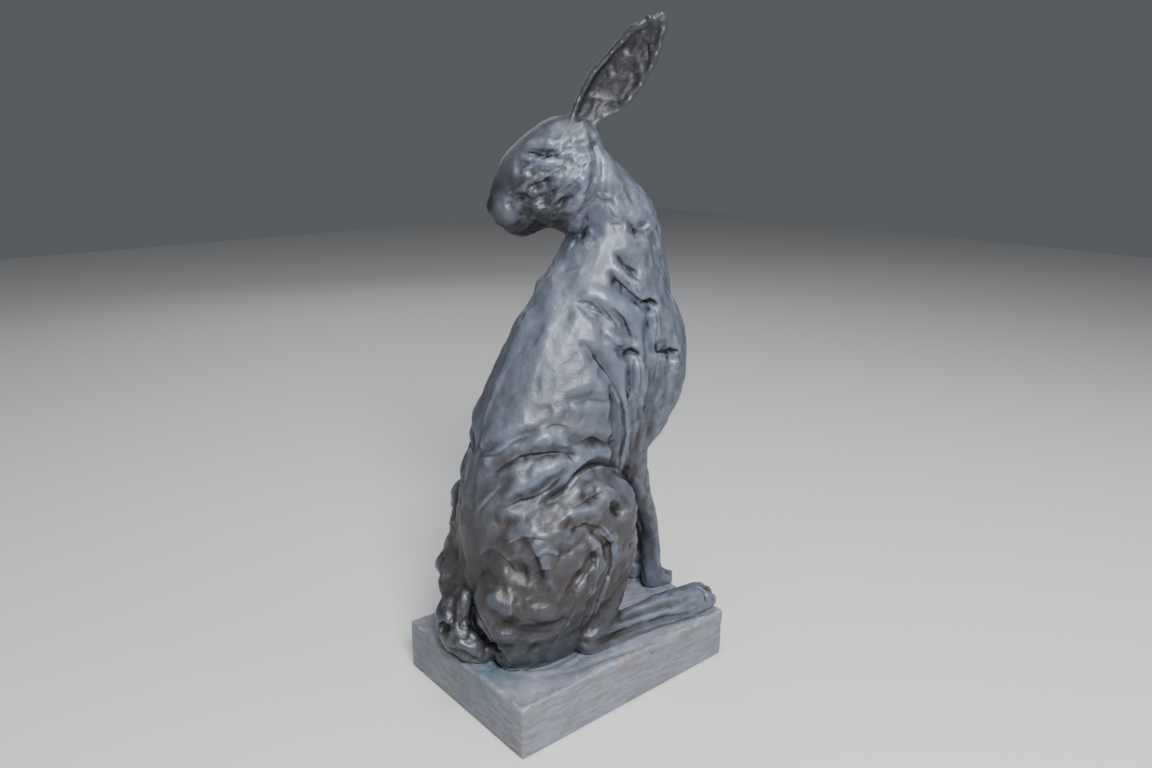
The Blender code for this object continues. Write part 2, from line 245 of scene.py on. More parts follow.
class Sculptor:
    """Holds the skin while the strokes go on."""

    def __init__(self, mesh):
        self.mesh = mesh
        self.refresh()

    def refresh(self):
        self.points = read_points(self.mesh)
        self.normals = read_points(self.mesh, "normal")
        faces = [face.vertices for face in self.mesh.polygons]
        self.surface = BVHTree.FromPolygons([Vector(p) for p in self.points], faces)
        self.rise = np.zeros(len(self.points))

    def cast(self, pixels):
        """Where the camera sees a line of pixels on the skin."""
        found = []
        for pixel in curve_through(pixels, CAST_STEP_PX):
            hit = self.surface.ray_cast(CAMERA_PLACE, ray_through(pixel))[0]
            if hit is not None:
                found.append(np.array(hit))
        return found

    def nearest(self, line):
        return [np.array(self.surface.find_nearest(Vector(p))[0]) for p in line]

    def stroke(self, profile, reach, height, line, hand=1):
        """Adds one stroke along a line of points on the skin, reach and height in mm."""
        line = np.array(line)
        if len(line) < 2:
            return
        reach = reach * MM
        low = line.min(0) - reach
        high = line.max(0) + reach
        chosen = np.flatnonzero(((self.points > low) & (self.points < high)).all(1))
        spots = self.points[chosen]
        run = np.concatenate([[0], np.cumsum(np.linalg.norm(np.diff(line, axis=0), axis=1))])
        near = np.full(len(spots), np.inf)
        side = np.zeros(len(spots))
        share = np.zeros(len(spots))
        for i, (a, b) in enumerate(zip(line, line[1:])):
            span = b - a
            length = np.linalg.norm(span)
            if length < TINY:
                continue
            along = np.clip((spots - a) @ span / length**2, 0, 1)
            away = spots - (a + along[:, None] * span)
            far = np.linalg.norm(away, axis=1)
            left = np.cross(self.normals[chosen], span / length)
            turn = np.sign(np.einsum("ij,ij->i", away, left))
            closer = far < near
            near[closer] = far[closer]
            side[closer] = (-turn * far * hand)[closer]
            share[closer] = ((run[i] + along * length) / run[-1])[closer]
        ends = np.clip(np.minimum(share, 1 - share) * ENDS_PER_STROKE, 0, 1)
        taper = END_SHARE + (1 - END_SHARE) * np.sqrt(ends)
        rise = profile(np.clip(side / (reach * taper), -1, 1)) * height * MM * taper
        self.rise[chosen] += np.where(near < reach * taper, rise, 0)

    def press(self):
        """Moves the skin by all strokes since the last press."""
        write_points(self.mesh, self.points + self.normals * self.rise[:, None])
        self.refresh()


sculptor = Sculptor(clay)
print("the sculptor holds", len(sculptor.points), "points")

# %% [markdown]
# The camera sees one side only. The other side gets the same strokes, mirrored in the middle
# plane of the body or in that of the head, which is turned. The two sides aren't quite alike in
# this pose, so a mirrored line is laid on the nearest skin before it is stroked.

# %% Both sides
# How far round the head looks from the way the body faces
HEAD_TURN = math.radians(140)
HEAD_SEAT = np.array((0.020, 0.005, 0.0))
HEAD_LEFT = np.array((-math.sin(HEAD_TURN), math.cos(HEAD_TURN), 0.0))
BODY_FLIP = np.array((1, -1, 1))


def mirrored_body(line):
    return [p * BODY_FLIP for p in line]


def mirrored_head(line):
    return [p - 2 * np.dot(p - HEAD_SEAT, HEAD_LEFT) * HEAD_LEFT for p in line]


def model(strokes, mirror=None):
    """Puts strokes (profile, reach, height, pixels) on the seen side, and mirrored on the other."""
    for profile, reach, height, pixels in strokes:
        line = sculptor.cast(pixels)
        sculptor.stroke(profile, reach, height, line)
        if mirror:
            sculptor.stroke(profile, reach, height, sculptor.nearest(mirror(line)), hand=-1)
    moved = np.abs(sculptor.rise).max()
    sculptor.press()
    print(len(strokes), "strokes, deepest", round(moved / MM, 2), "mm")


print("the head's left is", np.round(HEAD_LEFT, 3).tolist())

# %% [markdown]
# Head. Under a heavy brow the eye is almost shut: a slit with a pale lid below it. The cheek is
# the roughest place on the whole figure, where the fur was pressed on in small diagonal dabs,
# and it ends at a clear edge in front of the neck. The muzzle has two lobes and a mouth line.

# %% Head
BROW_AND_EYE = [
    (ledge, 6, 0.5, [(524, 151), (534, 148), (547, 151), (562, 149)]),
    (ridge, 5, 1.6, [(522, 159), (534, 159), (546, 161), (556, 160)]),
    (ridge, 6, 1.6, [(523, 162), (524, 168), (527, 176)]),
    (ridge, 4, 1.3, [(540, 155), (549, 155), (557, 154), (564, 152)]),
    (cut, 2.2, 1.6, [(524, 156), (531, 153), (540, 155), (550, 157), (557, 155), (567, 150)]),
    (cut, 2.2, 0.6, [(530, 163), (538, 162), (548, 163)]),
    (ledge, 4, 0.6, [(567, 150), (574, 144), (577, 134)]),
]
CHEEK = [
    (ridge, 5, 1.5, [(590, 150), (594, 164), (595, 178), (591, 192), (583, 206)]),
    (ridge, 4.5, 1.5, [(597, 146), (601, 164), (602, 182), (597, 197)]),
    (cut, 2.4, 0.7, [(568, 226), (576, 216), (588, 201), (597, 187), (600, 172), (599, 155), (592, 140)]),
    (cut, 2.4, 0.9, [(526, 189), (536, 184), (549, 180)]),
    (ridge, 3.5, 0.9, [(521, 186), (534, 180), (548, 175)]),
    (cut, 2.4, 0.9, [(540, 197), (548, 194), (560, 187)]),
    (ridge, 3.5, 0.9, [(534, 193), (548, 188), (560, 182)]),
    (cut, 2.4, 0.8, [(556, 206), (568, 198), (580, 188)]),
    (cut, 2.4, 0.8, [(531, 176), (538, 172), (547, 170)]),
    (cut, 2.4, 0.8, [(562, 192), (570, 186), (580, 178)]),
    (cut, 2.4, 0.7, [(536, 208), (546, 203), (556, 199)]),
    (ridge, 3.5, 0.9, [(550, 203), (564, 194), (576, 184)]),
    (cut, 2.6, 0.7, [(548, 213), (562, 208), (576, 203)]),
    (cut, 2.6, 0.8, [(541, 176), (551, 170), (562, 166)]),
    (hollow, 4, 0.7, [(566, 158), (571, 166), (569, 176)]),
    (ledge, 4, 0.9, [(580, 143), (587, 152), (589, 162), (584, 168)]),
    (ledge, 3.5, 0.7, [(574, 160), (580, 166), (586, 163)]),
    (ledge, 3.5, 0.7, [(572, 178), (579, 183), (586, 179)]),
    (ledge, 3.5, 0.7, [(560, 140), (566, 134), (572, 126)]),
]
MUZZLE = [
    (ridge, 9, 2.4, [(512, 201), (523, 204), (534, 208), (542, 212)]),
    (ridge, 7, 2.0, [(518, 211), (527, 216), (537, 220)]),
    (ridge, 5, 1.2, [(526, 208), (530, 212), (534, 217)]),
    (hollow, 2.6, 1.6, [(506, 205), (514, 203), (524, 198)]),
    (ridge, 4.5, 0.7, [(509, 196), (518, 191), (527, 188)]),
    (ridge, 8, 0.9, [(500, 214), (509, 219), (519, 219)]),
    (hollow, 7, 0.8, [(536, 207), (532, 215), (531, 224)]),
    (cut, 2.6, 0.9, [(490, 216), (499, 223), (512, 230)]),
]
model(BROW_AND_EYE + CHEEK + MUZZLE, mirrored_head)

# %% [markdown]
# Neck. A pale column runs down behind the cheek, with a fold across it, and the scruff is
# pulled into shallow ledges that step down towards the shoulder.

# %% Neck
NECK = [
    (ledge, 5, 1.2, [(596, 194), (605, 200), (613, 196)]),
    (cut, 2.6, 0.9, [(610, 225), (616, 224), (622, 225)]),
    (ledge, 6, 1.6, [(630, 221), (637, 230), (646, 230), (651, 224)]),
    (hollow, 5, 1.8, [(652, 231), (655, 239), (657, 248)]),
    (hollow, 6, 1.2, [(657, 248), (661, 262), (660, 275)]),
    (ridge, 7, 0.9, [(605, 145), (609, 168), (610, 192)]),
    (hollow, 6, 0.8, [(618, 150), (624, 178), (634, 205)]),
    (ridge, 6, 0.8, [(630, 165), (641, 190), (650, 214)]),
    (hollow, 5, 1.2, [(586, 215), (583, 232), (574, 246)]),
    (ridge, 5, 0.9, [(592, 208), (592, 226), (584, 246)]),
    (cut, 2.6, 1.2, [(577, 236), (574, 244), (571, 250)]),
    (cut, 2.2, 0.6, [(617, 206), (622, 216), (624, 230)]),
    (cut, 2.2, 0.6, [(608, 206), (612, 214), (618, 219)]),
]
model(NECK, mirrored_body)

# %% [markdown]
# Shoulder and foreleg. Here the modeller cut deepest: slashes that open under the shoulder
# blade, three square-ended pockets with strips dragged down out of them, and a long groove
# between the ribs and the upper arm.

# %% Shoulder
SLASHES = [
    (ledge, 5, 1.9, [(617, 254), (624, 263), (636, 270)]),
    (ledge, 6, 2.2, [(614, 275), (622, 284), (632, 292), (641, 299)]),
    (ridge, 6, 1.0, [(612, 266), (624, 277), (640, 288)]),
    (cut, 2.4, 1.0, [(620, 262), (630, 279), (641, 296)]),
    (hollow, 2.6, 2.8, [(639, 303), (648, 301), (658, 305)]),
    (ridge, 4, 1.0, [(638, 298), (648, 295), (659, 299)]),
    (hollow, 6, 1.4, [(648, 298), (649, 314), (651, 330), (652, 346)]),
    (cut, 2.6, 1.4, [(655, 306), (658, 325), (656, 345), (660, 365)]),
    (ridge, 8, 2.4, [(582, 306), (596, 311), (610, 320), (624, 332)]),
    (ridge, 6, 2.4, [(588, 312), (600, 319), (612, 329)]),
    (cut, 2.6, 1.2, [(577, 302), (590, 303), (600, 311), (606, 320)]),
    (ledge, 5, 1.6, [(602, 306), (611, 316), (617, 329)]),
    (ledge, 6, 1.5, [(612, 306), (622, 316), (630, 330), (634, 343)]),
    (hollow, 4, 0.8, [(592, 322), (602, 331), (610, 342)]),
    (ledge, 5, 1.5, [(606, 334), (613, 341), (622, 347)]),
    (hollow, 2.6, 2.6, [(624, 354), (631, 352), (639, 355)]),
    (ridge, 4, 1.0, [(622, 348), (631, 346), (640, 349)]),
    (hollow, 5, 1.3, [(631, 349), (631, 362), (630, 378), (630, 398)]),
    (cut, 2.6, 1.2, [(638, 355), (641, 372), (640, 394)]),
    (hollow, 2.6, 2.6, [(658, 352), (668, 351), (678, 352)]),
    (ridge, 4, 1.0, [(658, 346), (668, 344), (678, 346)]),
    (hollow, 6, 1.3, [(669, 347), (669, 362), (668, 380), (664, 398)]),
    (cut, 2.6, 1.2, [(658, 353), (655, 372), (651, 396)]),
    (ridge, 5, 1.2, [(645, 342), (647, 366), (645, 392)]),
    (ledge, 5, 1.4, [(664, 288), (670, 296), (674, 308)]),
    (ledge, 5, 1.2, [(655, 262), (662, 272), (666, 284)]),
]
RIBS_AND_ARM = [
    (ledge, 8, 1.6, [(620, 402), (607, 377), (594, 360), (586, 346)]),
    (cut, 3.4, 1.8, [(619, 396), (623, 415), (624, 436), (621, 452), (618, 476)]),
    (ridge, 6, 1.2, [(614, 404), (616, 430), (613, 460)]),
    (hollow, 5, 1.2, [(629, 395), (633, 420), (631, 452)]),
    (ridge, 5, 1.2, [(640, 398), (643, 422), (640, 452)]),
    (hollow, 5, 1.0, [(652, 400), (652, 424), (648, 450)]),
    (ridge, 7, 1.0, [(648, 452), (652, 488), (656, 530), (658, 566)]),
    (hollow, 6, 1.2, [(634, 520), (640, 552), (644, 580)]),
]
model(SLASHES + RIBS_AND_ARM, mirrored_body)

# %% [markdown]
# Back and flank. The back is one broad plane, dragged smooth. Below the ribs the loose skin
# folds over itself in ledges that run down towards the groin.

# %% Flank
FLANK = [
    (ledge, 6, 1.0, [(576, 404), (592, 398), (608, 400)]),
    (ledge, 6, 1.4, [(574, 443), (590, 437), (604, 442), (616, 440)]),
    (ledge, 8, 1.7, [(484, 456), (498, 452), (512, 443), (526, 437)]),
    (hollow, 7, 1.0, [(490, 463), (506, 456), (520, 452)]),
    (ledge, 9, 1.8, [(486, 478), (502, 466), (520, 457), (546, 452), (572, 453)]),
    (ridge, 7, 1.0, [(500, 474), (522, 465), (550, 460)]),
    (ledge, 8, 1.7, [(506, 506), (522, 499), (540, 493), (556, 479)]),
    (ledge, 9, 2.4, [(618, 470), (604, 466), (590, 468), (575, 477), (566, 489), (552, 500)]),
    (cut, 3, 1.2, [(540, 494), (552, 488), (560, 478)]),
    (ridge, 7, 0.7, [(560, 420), (580, 416), (602, 420)]),
    (ridge, 8, 0.9, [(530, 474), (552, 468), (574, 464)]),
    (hollow, 6, 1.0, [(590, 452), (600, 458), (612, 458)]),
    (ridge, 6, 0.8, [(494, 440), (508, 432), (524, 428)]),
    (ledge, 6, 0.9, [(540, 430), (556, 424), (570, 428)]),
]
BACK = [
    (ledge, 13, 0.7, [(462, 500), (475, 450), (492, 405), (508, 370), (524, 344)]),
    (ridge, 9, 0.7, [(560, 260), (552, 290), (546, 330)]),
    (hollow, 9, 0.6, [(574, 268), (568, 300), (562, 340)]),
    (ledge, 8, 0.7, [(584, 268), (566, 272), (552, 280)]),
]
model(FLANK + BACK, mirrored_body)

# %% [markdown]
# Haunch and foot. The thigh is a full round mass. The skin wrinkles at the knee, a hooked crease
# parts the shank from the thigh, and the long foot comes out below with tendons along it.

# %% Haunch
HAUNCH = [
    (ledge, 7, 1.4, [(572, 508), (588, 499), (604, 491)]),
    (ledge, 7, 1.6, [(570, 530), (584, 523), (600, 527), (610, 536)]),
    (hollow, 6, 1.2, [(611, 500), (617, 508), (620, 516)]),
    (cut, 3.4, 1.5, [(600, 534), (607, 542), (610, 554), (608, 572), (600, 592), (594, 612), (586, 634)]),
    (ridge, 6, 1.2, [(590, 540), (598, 552), (598, 572), (590, 596)]),
    (ridge, 7, 1.6, [(590, 560), (583, 576), (573, 590)]),
    (cut, 2.6, 1.0, [(596, 552), (590, 566), (580, 582), (568, 596)]),
    (ledge, 8, 1.3, [(530, 560), (546, 552), (560, 556)]),
    (ledge, 8, 1.2, [(480, 556), (492, 548), (506, 558), (516, 571)]),
    (ledge, 9, 0.9, [(498, 616), (516, 626), (540, 631), (562, 625)]),
    (ledge, 8, 1.2, [(478, 512), (488, 500), (502, 486)]),
    (hollow, 8, 1.0, [(486, 512), (496, 520), (512, 520)]),
    (ridge, 9, 1.2, [(508, 536), (528, 529), (546, 528)]),
    (ledge, 7, 1.2, [(506, 544), (526, 537), (548, 539)]),
    (hollow, 8, 1.0, [(556, 576), (566, 588), (566, 602)]),
    (ledge, 7, 1.0, [(524, 582), (534, 572), (552, 568)]),
    (cut, 3, 1.2, [(574, 606), (564, 626), (552, 644)]),
    (hollow, 9, 0.8, [(500, 646), (520, 654), (544, 648)]),
    (hollow, 8, 1.1, [(482, 574), (494, 578), (504, 590)]),
    (hollow, 8, 1.1, [(508, 562), (518, 570), (530, 574)]),
    (ridge, 7, 0.9, [(488, 596), (502, 606), (518, 610)]),
    (hollow, 9, 1.0, [(530, 596), (544, 598), (556, 592)]),
    (ridge, 8, 0.9, [(528, 614), (544, 614), (558, 608)]),
    (hollow, 8, 0.9, [(500, 626), (514, 634), (530, 638)]),
    (hollow, 7, 0.9, [(540, 516), (552, 512), (564, 516)]),
    (ridge, 7, 0.8, [(556, 540), (568, 544), (578, 540)]),
]
FOOT = [
    (cut, 3.2, 0.6, [(600, 644), (618, 637), (640, 628), (664, 621), (686, 617)]),
    (ridge, 7, 0.9, [(606, 612), (632, 603), (662, 595), (690, 589)]),
    (ridge, 4, 0.9, [(626, 614), (644, 607), (664, 601), (684, 597)]),
    (ridge, 4, 0.8, [(618, 634), (640, 627), (662, 621)]),
    (ridge, 6, 0.7, [(606, 632), (630, 624), (656, 615)]),
    (cut, 3, 0.7, [(610, 612), (632, 603), (656, 597)]),
    (cut, 3.2, 1.4, [(695, 588), (704, 592), (707, 604)]),
    (cut, 3.2, 1.2, [(704, 584), (712, 592), (713, 602)]),
    (hollow, 5, 1.0, [(594, 598), (606, 608), (624, 606)]),
]
model(HAUNCH + FOOT, mirrored_body)

# %% [markdown]
# Tail, ears and ground. The tail is a curled scroll against the haunch. An ear is deepest right
# beside its rolled near rim, and its far wall is broad and catches the light. Where the figure
# meets the plinth, the clay of the ground was pushed up in a lip around it.

# %% Tail, ears and ground
TAIL = [
    (cut, 4.5, 2.2, [(470, 592), (476, 608), (486, 628), (498, 648), (508, 662)]),
    (ridge, 5, 1.8, [(463, 586), (466, 602), (466, 618), (466, 636)]),
    (hollow, 5, 1.6, [(455, 600), (452, 612), (450, 624)]),
    (hollow, 5, 1.8, [(444, 622), (443, 632), (446, 641)]),
    (ridge, 6, 1.0, [(470, 630), (480, 644), (494, 656)]),
    (ledge, 5, 1.0, [(450, 650), (464, 658), (480, 664)]),
]
GROUND = [
    (ridge, 5, 1.8, [(500, 667), (524, 673), (548, 673), (566, 665), (584, 653)]),
    (ridge, 7, 1.0, [(574, 654), (586, 650), (600, 646)]),
    (ridge, 5, 1.2, [(602, 651), (624, 643), (650, 633), (680, 624), (706, 616)]),
    (hollow, 5, 1.3, [(566, 674), (588, 665), (616, 655), (646, 644), (676, 634)]),
    (ridge, 6, 0.9, [(560, 684), (586, 674), (612, 664), (640, 653)]),
    (ridge, 7, 0.9, [(480, 674), (492, 684), (504, 692)]),
    (hollow, 8, 0.8, [(508, 684), (530, 690), (552, 688)]),
]
EAR = [
    (hollow, 7, 2.4, [(578, 120), (590, 94), (607, 68), (626, 46), (640, 31)]),
    (ridge, 3.5, 0.8, [(571, 122), (580, 98), (594, 74), (612, 52)]),
    (ridge, 7, 0.7, [(598, 114), (613, 96), (631, 74), (645, 52)]),
    (hollow, 4, 0.5, [(592, 120), (606, 110), (616, 102)]),
    (ledge, 4, 0.8, [(640, 34), (648, 44), (650, 58)]),
    (ridge, 4, 1.8, [(648, 20), (651, 16)]),
]
model(TAIL)
model(EAR, mirrored_head)
model(GROUND, mirrored_body)

# %% [markdown]
# Between the strokes the clay is never smooth: small smears overlap all over it. They follow
# the form, so every region has lines that say which way the clay was dragged there, and how
# large and high its smears are. The cheeks get the smallest and steepest, which read as fur, and
# the plinth long flat ones.

# %% Flow lines
FLOW_SPACING = 0.008


def head_place(forward, left, up):
    """A point of the head in mm along its nose line and to its left, and mm above the floor."""
    ahead = np.array((math.cos(HEAD_TURN), math.sin(HEAD_TURN), 0.0))
    return (HEAD_SEAT + (ahead * forward + HEAD_LEFT * left + np.array((0, 0, up))) * MM) / MM


def both(line):
    return [line, [(x, -y, z) for x, y, z in line]]


def head_both(line):
    return [[head_place(f, s * l, u) for f, l, u in line] for s in (1, -1)]


SPINE = [(-100, 0, 110), (-96, 0, 160), (-66, 0, 240), (-32, 0, 305), (2, 0, 360), (20, 5, 410)]
RIBS = [(-70, -40, 190), (-20, -52, 235), (15, -53, 285), (40, -45, 340)]
BREAST_SIDE = [(60, -48, 320), (72, -48, 275), (60, -50, 235)]
THIGH = [(-92, -48, 85), (-84, -64, 115), (-54, -68, 145), (-14, -66, 168), (8, -62, 160)]
LOW_HAUNCH = [(-80, -58, 70), (-46, -68, 100), (-18, -68, 120)]
HIND_FOOT = [(-30, -58, 58), (20, -60, 60), (92, -68, 58)]
FORELEG = [(90, -12, 62), (82, -14, 117), (60, -24, 165), (58, -34, 205)]
BREAST = [(96, 0, 225), (106, 0, 270), (98, 0, 320), (70, 0, 368)]
NECK_SIDE = [(30, -24, 415), (42, -26, 395), (48, -34, 372)]
CROWN = [(8, 6, 448), (30, 7, 444), (52, 7, 424), (66, 6, 402)]
UPPER_CHEEK = [(44, 20, 396), (26, 25, 406), (8, 23, 420)]
LOWER_CHEEK = [(48, 16, 380), (28, 24, 388), (4, 24, 402)]
LIPS = [(62, 12, 388), (56, 10, 374)]
EAR_LENGTH = [(0, 9, 450), (-20, 12, 470), (-38, 13, 492), (-54, 12, 514)]
SCUT = [(-102, 10, 97), (-112, 13, 78), (-112, 4, 62), (-98, -8, 54)]
PLINTH_SIDE = [(-104, -79, 22), (104, -79, 22)]
GROUND_SIDE = [(-100, -70, 44), (0, -74, 44), (100, -74, 44)]
GROUND_MIDDLE = [(-4, 0, 44), (60, 0, 44)]
GROUND_FRONT = [(104, -50, 44), (104, 50, 44)]

# The length, width and height of the smears along each line, all in mm
FLOWS = [
    (26, 15, 0.55, [SPINE]),
    (24, 14, 0.60, both(RIBS)),
    (22, 10, 0.55, both(BREAST_SIDE)),
    (20, 13, 0.90, both(THIGH)),
    (18, 11, 0.80, both(LOW_HAUNCH)),
    (20, 7.0, 0.30, both(HIND_FOOT)),
    (22, 7.5, 0.35, both(FORELEG)),
    (20, 11, 0.55, [BREAST]),
    (18, 8.0, 0.40, both(NECK_SIDE)),
    (16, 9.0, 0.14, head_both(CROWN)),
    (10, 4.4, 0.42, head_both(UPPER_CHEEK)),
    (10, 4.4, 0.34, head_both(LOWER_CHEEK)),
    (10, 6.0, 0.20, head_both(LIPS)),
    (18, 5.0, 0.28, head_both(EAR_LENGTH)),
    (11, 6.0, 0.60, [SCUT]),
    (34, 9.0, 0.14, both(PLINTH_SIDE)),
    (34, 9.0, 0.14, [[(s * 108, -74, 22), (s * 108, 74, 22)] for s in (-1, 1)]),
    (24, 12, 0.40, both(GROUND_SIDE)),
    (22, 11, 0.35, [GROUND_MIDDLE, GROUND_FRONT]),
]


def tree_of(places):
    """A search tree of points, each under its own number."""
    tree = KDTree(len(places))
    for i, place in enumerate(places):
        tree.insert(place, i)
    tree.balance()
    return tree


flow_samples = []
for length, width, height, lines in FLOWS:
    for line in lines:
        path = curve_through(np.array(line) * MM, FLOW_SPACING)
        for spot, way in zip(path, np.gradient(path, axis=0)):
            flow_samples.append((spot, way, length * MM, width * MM, height * MM))
flow_tree = tree_of([sample[0] for sample in flow_samples])
print(len(flow_samples), "samples on", sum(len(row[3]) for row in FLOWS), "flow lines")

# %% [markdown]
# Half of the smears have one crisp end, where the thumb or the paddle stopped, and half are soft
# dabs. Two in three are raised and the third is pressed in. Their places, turns and sizes come
# from a seeded generator, so each run is alike, and the heights that pile up are rounded off.

# %% Smears
SMEAR_SEED = 7
SMEAR_COVER = 2.2
SMEAR_MOST = 1.3
SOFT_SHARE = 0.5
SWING = 0.45
SMALLEST = 0.7
LARGEST = 1.4
RAISED_OR_PRESSED = (1, 1, -1)
SAME_SIDE = 0.3
RIM_SHARE = 0.28
MIDDLE_HEIGHT = 0.55
CRISP_RISE = 0.6
FLAT_BELOW = 0.004


def smear(tree, centre, normal, way, length, width, height, soft):
    """One smear, crisp at its far end and thinning out where it began, or one soft dab."""
    across = np.cross(normal, way)
    found = np.array([i for _, i, _ in tree.find_range(centre, length / 2)])
    away = sculptor.points[found] - centre
    same_side = sculptor.normals[found] @ normal > SAME_SIDE
    u = away @ way / (length / 2)
    v = away @ across / (width / 2)
    rim = 1 - np.sqrt(u**2 + v**2)
    plate = np.clip(rim / RIM_SHARE, 0, 1)
    shape = plate * np.clip(MIDDLE_HEIGHT + CRISP_RISE * u, 0, 1)
    if soft:
        shape = np.clip(1 - u**2 - v**2, 0, 1) ** 2
    sculptor.rise[found] += height * shape * same_side


skin_tree = tree_of(sculptor.points)
rng = np.random.default_rng(SMEAR_SEED)
nearest_flow = np.array([flow_tree.find(spot)[1] for spot in sculptor.points])
flow_areas = np.array([math.pi / 4 * sample[2] * sample[3] for sample in flow_samples])
chances = SMEAR_COVER * SKIN_VOXEL**2 / flow_areas[nearest_flow]
smeared = np.flatnonzero(rng.random(len(chances)) < chances)
for i in smeared:
    centre = sculptor.points[i]
    normal = sculptor.normals[i]
    _, way, length, width, height = flow_samples[nearest_flow[i]]
    swing = rng.normal(0, SWING)
    scale = rng.uniform(SMALLEST, LARGEST)
    soft = rng.random() < SOFT_SHARE
    height *= scale * rng.choice(RAISED_OR_PRESSED)
    way = way - np.dot(way, normal) * normal
    if np.linalg.norm(way) < TINY:
        continue
    way = way / np.linalg.norm(way)
    way = way * math.cos(swing) + np.cross(normal, way) * math.sin(swing)
    smear(skin_tree, centre, normal, way, length * scale, width * scale, height, soft)
highest = SMEAR_MOST * MM
sculptor.rise = highest * np.tanh(sculptor.rise / highest)
sculptor.rise *= np.clip(sculptor.points[:, 2] / FLAT_BELOW - 0.5, 0, 1)
print(len(smeared), "smears, highest", round(sculptor.rise.max() / MM, 2), "mm")
sculptor.press()

# %% [markdown]
# The painter's brush touches what stands proud and misses what lies deep. So the finish needs to
# know, at each point, how far it stands out from its surroundings: once against a finger's
# breadth around it, for the strokes, and once against a hand's, for the forms. Both are measured
# as the distance to a relaxed copy of the skin, on this even mesh, because a relaxation reaches
# as far as the faces are large.

# %% Relief for the painter
FINGER_ROUNDS = 12
HAND_ROUNDS = 170
FINGER_MM = 0.5
HAND_MM = 2.5

points = read_points(clay)
normals = read_points(clay, "normal")
relief = {}
for name, rounds, scale in (("strokes", FINGER_ROUNDS, FINGER_MM), ("forms", HAND_ROUNDS, HAND_MM)):
    level = relaxed(points, links, rounds, 1.0, push=0.0)
    proud = np.einsum("ij,ij->i", points - level, normals) / (scale * MM)
    relief[name] = np.clip(proud, -1, 1)
    print(name, "proud by", np.round(np.percentile(proud, (2, 25, 50, 75, 98)), 2).tolist())

# %% [markdown]
# The skin has more faces than flat places need. Thinning it out keeps them where the relief is,
# and each point that is left takes its relief from the point of the even mesh at the same place.

# %% Thin out
SKIN_TRIANGLES = 190000

skin_tree = tree_of(points)
thin = skin.modifiers.new("thin_out", "DECIMATE")
thin.ratio = SKIN_TRIANGLES / (2 * len(clay.polygons))
casting = evaluated_mesh(skin)
skin.modifiers.clear()
skin.data = casting
casting.shade_smooth()
same_place = [skin_tree.find(spot)[1] for spot in read_points(casting)]
for name, values in relief.items():
    field = casting.attributes.new(name, "FLOAT", "POINT")
    field.data.foreach_set("value", values[same_place].astype(np.float32))
triangles = sum(len(face.vertices) - 2 for face in casting.polygons)
print("casting", triangles, "triangles")

# %% [markdown]
# Finish. The ground coat is a brown black. Over it lies a satin grey, then a pale blue-grey
# dragged over the high places with a nearly dry brush, and a thin blue wash that has run into
# the shallow pockets. Rust brown shows through low on the haunches and on the plinth, which is
# paler and drier than the hare. Painted light goes on in the same way. The brown black left in
# the low places is partly painted shade. The deepest cuts, the ear hollows, the face, the jaw and
# the rump get painted shade, and the ridges and the nose get painted highlights. Each coat is one
# mask and one colour, so the same small group makes every mask: a measure of the surface, broken
# up by noise, between two limits. Image textures would need the figure unwrapped, and noise in
# the figure's own space doesn't.

# %% Brush group
GROUP_INPUTS = {"Measure": 0.0, "Grain Scale": 60.0, "Grain": 0.5, "From": 0.0, "To": 1.0}
EVEN = (1, 1, 1)
GRAIN_DETAIL = 5.0
GRAIN_ROUGHNESS = 0.62
GRAIN_MIDDLE = 0.5


def add_node(tree, kind, sockets=None, **settings):
    """Adds a node, and gives each named socket a constant or a link from another node."""
    node = tree.nodes.new(kind)
    for name, value in settings.items():
        setattr(node, name, value)
    for name, value in (sockets or {}).items():
        if isinstance(value, bpy.types.NodeSocket):
            tree.links.new(value, node.inputs[name])
        else:
            node.inputs[name].default_value = value
    return node


def maths(tree, operation, a, b):
    return add_node(tree, "ShaderNodeMath", {0: a, 1: b}, operation=operation).outputs[0]


def vector_maths(tree, operation, a, b, result):
    node = add_node(tree, "ShaderNodeVectorMath", {0: a, 1: b}, operation=operation)
    return node.outputs[result]


def brush_group():
    group = bpy.data.node_groups.new("brushed_coat", "ShaderNodeTree")
    for name, value in GROUP_INPUTS.items():
        socket = group.interface.new_socket(name, in_out="INPUT", socket_type="NodeSocketFloat")
        socket.default_value = value
    stretch = group.interface.new_socket("Stretch", in_out="INPUT", socket_type="NodeSocketVector")
    stretch.default_value = EVEN
    group.interface.new_socket("Mask", in_out="OUTPUT", socket_type="NodeSocketFloat")
    enter = group.nodes.new("NodeGroupInput").outputs
    leave = group.nodes.new("NodeGroupOutput")
    place = add_node(group, "ShaderNodeTexCoord").outputs["Object"]
    grain = add_node(group, "ShaderNodeTexNoise", {
        "Vector": vector_maths(group, "MULTIPLY", place, enter["Stretch"], "Vector"),
        "Scale": enter["Grain Scale"],
        "Detail": GRAIN_DETAIL,
        "Roughness": GRAIN_ROUGHNESS,
    }).outputs["Fac"]
    broken = maths(group, "MULTIPLY", maths(group, "SUBTRACT", grain, GRAIN_MIDDLE), enter["Grain"])
    mask = add_node(group, "ShaderNodeMapRange", {
        "Value": maths(group, "ADD", enter["Measure"], broken),
        "From Min": enter["From"],
        "From Max": enter["To"],
    }, interpolation_type="SMOOTHSTEP")
    group.links.new(mask.outputs["Result"], leave.inputs["Mask"])
    return group


brushed = brush_group()
print("group", brushed.name, "with", len(brushed.nodes), "nodes")

# %% [markdown]
# The finish is long, so it gets a few words of its own. A painter holds one material's nodes. It
# measures the figure, makes the mask of a coat with the brush group, and lays a colour over
# another where a mask says so, as thickly as the cover says.

